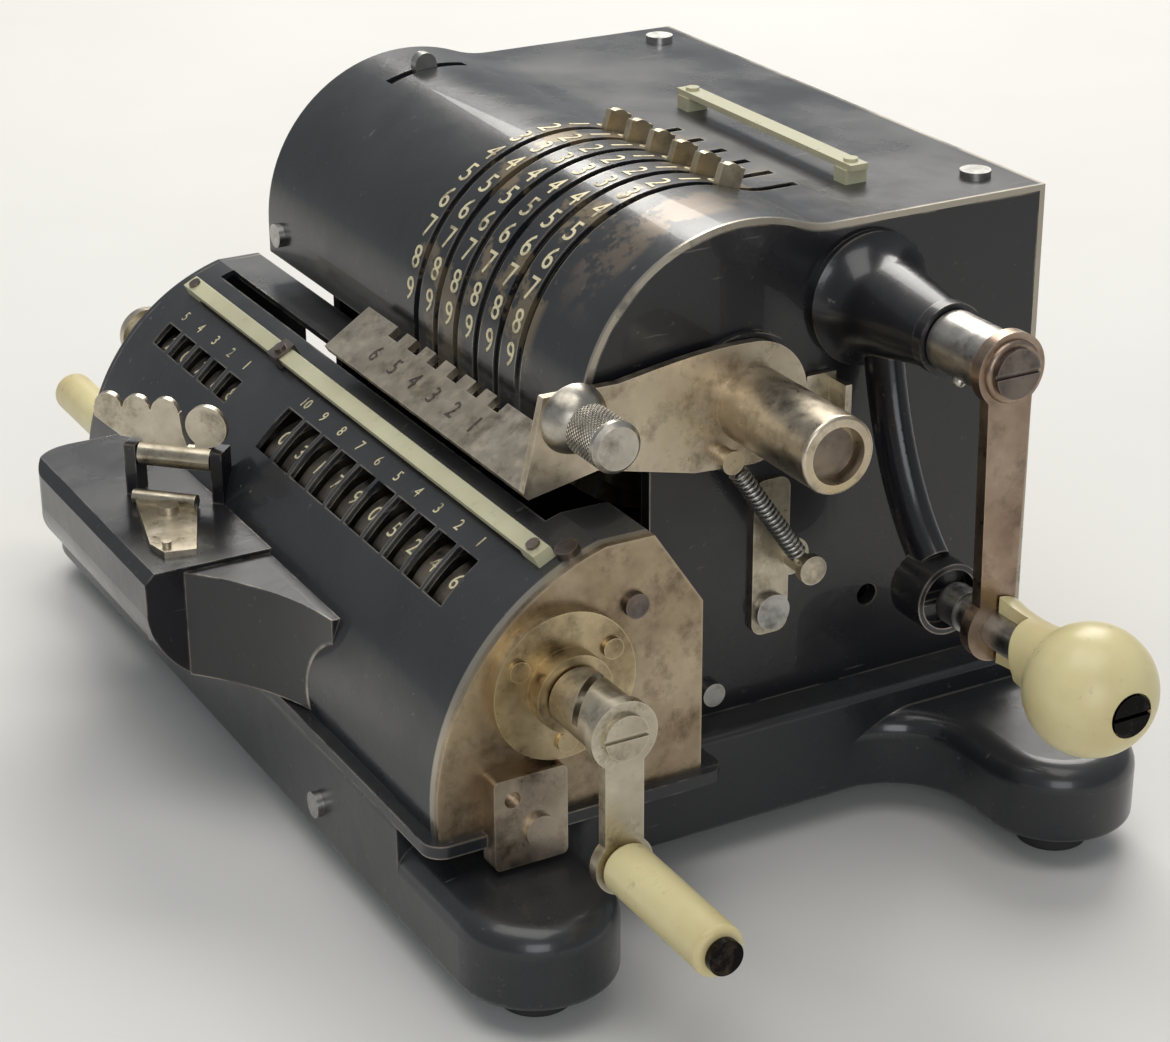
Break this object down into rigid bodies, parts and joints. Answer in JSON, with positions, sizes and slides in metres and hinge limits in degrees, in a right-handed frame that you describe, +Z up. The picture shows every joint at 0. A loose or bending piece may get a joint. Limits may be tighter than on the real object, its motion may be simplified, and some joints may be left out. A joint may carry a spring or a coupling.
{
  "type": "pinwheel calculator",
  "caption": "Desk pinwheel calculating machine with setting levers, crank, sliding register carriage, clearing cranks and clearing comb.",
  "frame": {"origin": "on the table plane, under the middle of the whole machine's box, clearing cranks and crank handle included", "axes": "+X to the operator's right along the drum axis, +Y to the back, +Z up"},
  "size_m": [0.2936, 0.1644, 0.1283],
  "materials": {
    "black_enamel": "worn black enamel with a dusty sheen",
    "rubber": "aged black rubber",
    "dark_steel": "dark oxidised screw steel",
    "cream": "yellowed cream celluloid",
    "strap": "black strap with rubbed edges",
    "steel": "plain turned steel",
    "nickel": "warm worn nickel plate",
    "bronze": "dull bronze-brown plate",
    "brass": "dull turned brass",
    "lever": "stamped steel",
    "wheel": "dark number wheels"
  },
  "bodies": {
    "base": {"base_frame": "black_enamel", "rubber_feet": "rubber", "left_side_plate": "black_enamel", "right_side_plate": "black_enamel", "top_cover": "black_enamel", "frame_screws": "dark_steel", "setting_point_rail": "cream", "crank_bearing": "black_enamel", "comb_strap": "strap", "hub_catch": "dark_steel", "comb_spring": "steel"},
    "drum": {"drum_shaft": "steel", "pinwheel_discs": "brass", "setting_pins": "steel"},
    "crank": {"crank_shaft": "steel", "crank_arm": "nickel"},
    "handle_stem": {"crank_stem": "steel"},
    "ball_grip": {"ball_handle": "cream"},
    "idler": {"idler_gear": "steel"},
    "carriage": {"carriage_cover": "black_enamel", "carriage_right_plate": "bronze", "carriage_left_plate": "black_enamel", "carriage_bed": "black_enamel", "carriage_point_rail": "cream", "register_shaft": "steel", "carriage_horn": "black_enamel", "horn_clip": "nickel", "stop_block": "nickel", "carriage_screws": "dark_steel", "clearing_bearings": "brass"},
    "comb": {"comb_bar": "nickel", "comb_knob": "nickel"},
    "sign": {"sign_lever": "nickel"},
    "pointer": {"decimal_pointer": "nickel"},
    "result_crank": {"result_clear_crank": "nickel"},
    "result_grip": {"result_clear_handle": "cream"},
    "counter_crank": {"counter_clear_crank": "nickel"},
    "counter_grip": {"counter_clear_handle": "cream"},
    "release": {"release_lever": "nickel"},
    "lever_1": {"setting_lever_1": "lever"},
    "lever_2": {"setting_lever_2": "lever"},
    "lever_3": {"setting_lever_3": "lever"},
    "lever_4": {"setting_lever_4": "lever"},
    "lever_5": {"setting_lever_5": "lever"},
    "lever_6": {"setting_lever_6": "lever"},
    "result_1": {"result_wheel_1": "wheel"},
    "result_2": {"result_wheel_2": "wheel"},
    "result_3": {"result_wheel_3": "wheel"},
    "result_4": {"result_wheel_4": "wheel"},
    "result_5": {"result_wheel_5": "wheel"},
    "result_6": {"result_wheel_6": "wheel"},
    "result_7": {"result_wheel_7": "wheel"},
    "result_8": {"result_wheel_8": "wheel"},
    "result_9": {"result_wheel_9": "wheel"},
    "result_10": {"result_wheel_10": "wheel"},
    "counter_1": {"counter_wheel_1": "wheel"},
    "counter_2": {"counter_wheel_2": "wheel"},
    "counter_3": {"counter_wheel_3": "wheel"},
    "counter_4": {"counter_wheel_4": "wheel"},
    "counter_5": {"counter_wheel_5": "wheel"}
  },
  "joints": [
    {"name": "drum_turn", "type": "hinge", "parent": "base", "child": "drum", "pos_m": [0, 0.01425, 0.091], "axis": [1, 0, 0], "continuous": true},
    {"name": "carriage_slide", "type": "slide", "parent": "base", "child": "carriage", "axis": [1, 0, 0], "range_m": [-0.0255, 0.0085]},
    {"name": "comb_lift", "type": "hinge", "parent": "base", "child": "comb", "pos_m": [0, 0.01425, 0.091], "axis": [-1, 0, 0], "range_deg": [0, 75], "stiffness_Nm_per_rad": 0.02, "springref_deg": -22.92, "deforming": ["comb_spring"]},
    {"name": "lever_1_set", "type": "hinge", "parent": "drum", "child": "lever_1", "pos_m": [0, 0.01425, 0.091], "axis": [1, 0, 0], "range_deg": [0, 99]},
    {"name": "lever_2_set", "type": "hinge", "parent": "drum", "child": "lever_2", "pos_m": [0, 0.01425, 0.091], "axis": [1, 0, 0], "range_deg": [0, 99]},
    {"name": "lever_3_set", "type": "hinge", "parent": "drum", "child": "lever_3", "pos_m": [0, 0.01425, 0.091], "axis": [1, 0, 0], "range_deg": [0, 99]},
    {"name": "lever_4_set", "type": "hinge", "parent": "drum", "child": "lever_4", "pos_m": [0, 0.01425, 0.091], "axis": [1, 0, 0], "range_deg": [0, 99]},
    {"name": "lever_5_set", "type": "hinge", "parent": "drum", "child": "lever_5", "pos_m": [0, 0.01425, 0.091], "axis": [1, 0, 0], "range_deg": [0, 99]},
    {"name": "lever_6_set", "type": "hinge", "parent": "drum", "child": "lever_6", "pos_m": [0, 0.01425, 0.091], "axis": [1, 0, 0], "range_deg": [0, 99]},
    {"name": "result_clear", "type": "hinge", "parent": "carriage", "child": "result_crank", "pos_m": [0, -0.03615, 0.0557], "axis": [1, 0, 0], "continuous": true},
    {"name": "counter_clear", "type": "hinge", "parent": "carriage", "child": "counter_crank", "pos_m": [0, -0.03615, 0.0557], "axis": [1, 0, 0], "continuous": true},
    {"name": "release_press", "type": "hinge", "parent": "carriage", "child": "release", "pos_m": [-0.03227, -0.06745, 0.062], "axis": [0.6997, 0.7145, 0], "range_deg": [0, 12], "stiffness_Nm_per_rad": 0.02, "springref_deg": -5.73},
    {"name": "handle_pull", "type": "slide", "parent": "crank", "child": "handle_stem", "axis": [1, 0, 0], "range_m": [0, 0.005], "stiffness_N_per_m": 300, "springref_m": -0.002},
    {"name": "pointer_slide", "type": "slide", "parent": "carriage", "child": "pointer", "axis": [1, 0, 0], "range_m": [-0.04, 0.1]},
    {"name": "sign_swing", "type": "hinge", "parent": "base", "child": "sign", "pos_m": [0, 0.01425, 0.091], "axis": [1, 0, 0], "range_deg": [-8, 8]},
    {"name": "crank_turn", "type": "hinge", "parent": "base", "child": "crank", "pos_m": [0, 0.04115, 0.1059], "axis": [1, 0, 0], "continuous": true},
    {"name": "idler_turn", "type": "hinge", "parent": "base", "child": "idler", "pos_m": [0, 0.02984, 0.09458], "axis": [1, 0, 0], "continuous": true},
    {"name": "ball_spin", "type": "hinge", "parent": "handle_stem", "child": "ball_grip", "pos_m": [0, 0.04115, 0.0563], "axis": [1, 0, 0], "continuous": true},
    {"name": "result_grip_spin", "type": "hinge", "parent": "result_crank", "child": "result_grip", "pos_m": [0, -0.03615, 0.0307], "axis": [1, 0, 0], "continuous": true},
    {"name": "counter_grip_spin", "type": "hinge", "parent": "counter_crank", "child": "counter_grip", "pos_m": [0, -0.0447, 0.03221], "axis": [1, 0, 0], "continuous": true},
    {"name": "result_1_turn", "type": "hinge", "parent": "carriage", "child": "result_1", "pos_m": [0, -0.03615, 0.0557], "axis": [1, 0, 0], "continuous": true},
    {"name": "result_2_turn", "type": "hinge", "parent": "carriage", "child": "result_2", "pos_m": [0, -0.03615, 0.0557], "axis": [1, 0, 0], "continuous": true},
    {"name": "result_3_turn", "type": "hinge", "parent": "carriage", "child": "result_3", "pos_m": [0, -0.03615, 0.0557], "axis": [1, 0, 0], "continuous": true},
    {"name": "result_4_turn", "type": "hinge", "parent": "carriage", "child": "result_4", "pos_m": [0, -0.03615, 0.0557], "axis": [1, 0, 0], "continuous": true},
    {"name": "result_5_turn", "type": "hinge", "parent": "carriage", "child": "result_5", "pos_m": [0, -0.03615, 0.0557], "axis": [1, 0, 0], "continuous": true},
    {"name": "result_6_turn", "type": "hinge", "parent": "carriage", "child": "result_6", "pos_m": [0, -0.03615, 0.0557], "axis": [1, 0, 0], "continuous": true},
    {"name": "result_7_turn", "type": "hinge", "parent": "carriage", "child": "result_7", "pos_m": [0, -0.03615, 0.0557], "axis": [1, 0, 0], "continuous": true},
    {"name": "result_8_turn", "type": "hinge", "parent": "carriage", "child": "result_8", "pos_m": [0, -0.03615, 0.0557], "axis": [1, 0, 0], "continuous": true},
    {"name": "result_9_turn", "type": "hinge", "parent": "carriage", "child": "result_9", "pos_m": [0, -0.03615, 0.0557], "axis": [1, 0, 0], "continuous": true},
    {"name": "result_10_turn", "type": "hinge", "parent": "carriage", "child": "result_10", "pos_m": [0, -0.03615, 0.0557], "axis": [1, 0, 0], "continuous": true},
    {"name": "counter_1_turn", "type": "hinge", "parent": "carriage", "child": "counter_1", "pos_m": [0, -0.03615, 0.0557], "axis": [1, 0, 0], "continuous": true},
    {"name": "counter_2_turn", "type": "hinge", "parent": "carriage", "child": "counter_2", "pos_m": [0, -0.03615, 0.0557], "axis": [1, 0, 0], "continuous": true},
    {"name": "counter_3_turn", "type": "hinge", "parent": "carriage", "child": "counter_3", "pos_m": [0, -0.03615, 0.0557], "axis": [1, 0, 0], "continuous": true},
    {"name": "counter_4_turn", "type": "hinge", "parent": "carriage", "child": "counter_4", "pos_m": [0, -0.03615, 0.0557], "axis": [1, 0, 0], "continuous": true},
    {"name": "counter_5_turn", "type": "hinge", "parent": "carriage", "child": "counter_5", "pos_m": [0, -0.03615, 0.0557], "axis": [1, 0, 0], "continuous": true}
  ],
  "couplings": [
    {"joint": "crank_turn", "follows": "drum_turn", "ratio": 1},
    {"joint": "idler_turn", "follows": "drum_turn", "ratio": -1}
  ]
}
